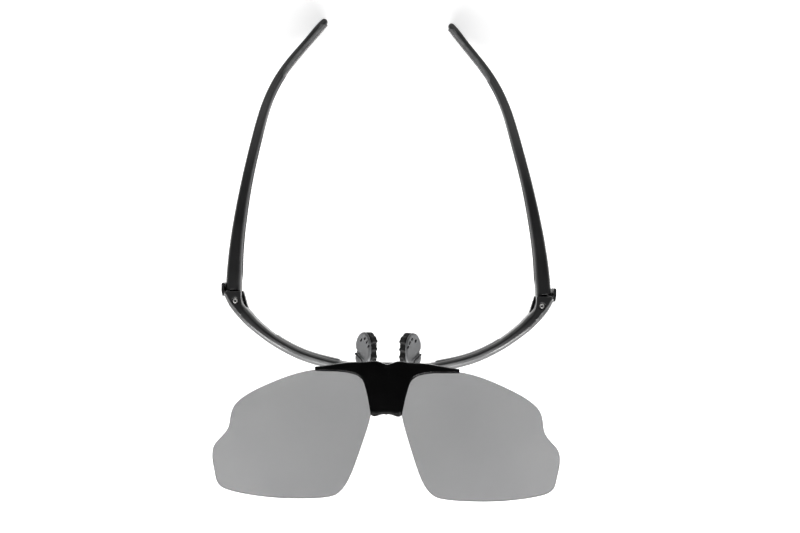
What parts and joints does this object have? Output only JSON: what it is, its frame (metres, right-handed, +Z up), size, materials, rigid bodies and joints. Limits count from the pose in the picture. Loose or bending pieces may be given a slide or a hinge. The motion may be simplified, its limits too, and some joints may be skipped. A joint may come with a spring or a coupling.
{
  "type": "flip-up protective eyewear frame",
  "caption": "Wrap eyewear frame with folding curved temples, nose pads on bendable arms and a flip-up carrier that holds two rimless tinted lenses.",
  "frame": {"origin": "under the middle of the object's box at rest, on the surface it stands on", "axes": "+Z up, +Y from the brow bar towards the temple tips, +X to the right in plan; temples open, lenses flipped up"},
  "size_m": [0.1468, 0.2033, 0.0469],
  "materials": {
    "satin_nylon": "satin black moulded nylon",
    "gloss_nylon": "gloss black",
    "frame_nylon": "satin black",
    "smoke_lens": "clear tinted polycarbonate",
    "black_silicone": "matte ribbed silicone",
    "grey_nylon": "matte grey",
    "tip_rubber": "matte textured rubber",
    "brass": "machined",
    "steel": "plain steel",
    "washer_nylon": "natural nylon",
    "coated_wire": "black coated wire"
  },
  "bodies": {
    "front_frame": {"brow_bar": "satin_nylon", "hinge_screw_left": "steel", "hinge_screw_right": "steel", "threaded_insert_left": "brass", "threaded_insert_right": "brass", "nose_pad_arm_left": "coated_wire", "nose_pad_arm_right": "coated_wire", "nose_pad_shell_left": "grey_nylon", "nose_pad_shell_right": "grey_nylon", "nose_pad_cushion_left": "black_silicone", "nose_pad_cushion_right": "black_silicone", "nose_clip": "frame_nylon", "nose_clip_screws": "steel", "flip_bracket": "frame_nylon", "bracket_screws": "steel", "detent_spring": "steel", "flip_pin": "steel", "flip_washers": "washer_nylon"},
    "lens_flip": {"lens_bridge": "gloss_nylon", "lens_clamp_plate": "gloss_nylon", "carrier_screws": "steel", "lens_left": "smoke_lens", "lens_right": "smoke_lens"},
    "temple_arm_left": {"temple_left": "satin_nylon", "temple_core_left": "steel", "tip_pad_left": "tip_rubber"},
    "temple_arm_right": {"temple_right": "satin_nylon", "temple_core_right": "steel", "tip_pad_right": "tip_rubber"}
  },
  "joints": [
    {"name": "lens_flip_hinge", "type": "hinge", "parent": "front_frame", "child": "lens_flip", "pos_m": [0, -0.0466, 0.0332], "axis": [1, 0, 0], "range_deg": [0, 90]},
    {"name": "temple_left_fold", "type": "hinge", "parent": "front_frame", "child": "temple_arm_left", "pos_m": [-0.0639, -0.0208, 0.022], "axis": [0, 0, -1], "range_deg": [0, 76]},
    {"name": "temple_right_fold", "type": "hinge", "parent": "front_frame", "child": "temple_arm_right", "pos_m": [0.0639, -0.0208, 0.022], "axis": [0, 0, 1], "range_deg": [-3.5, 66]}
  ]
}
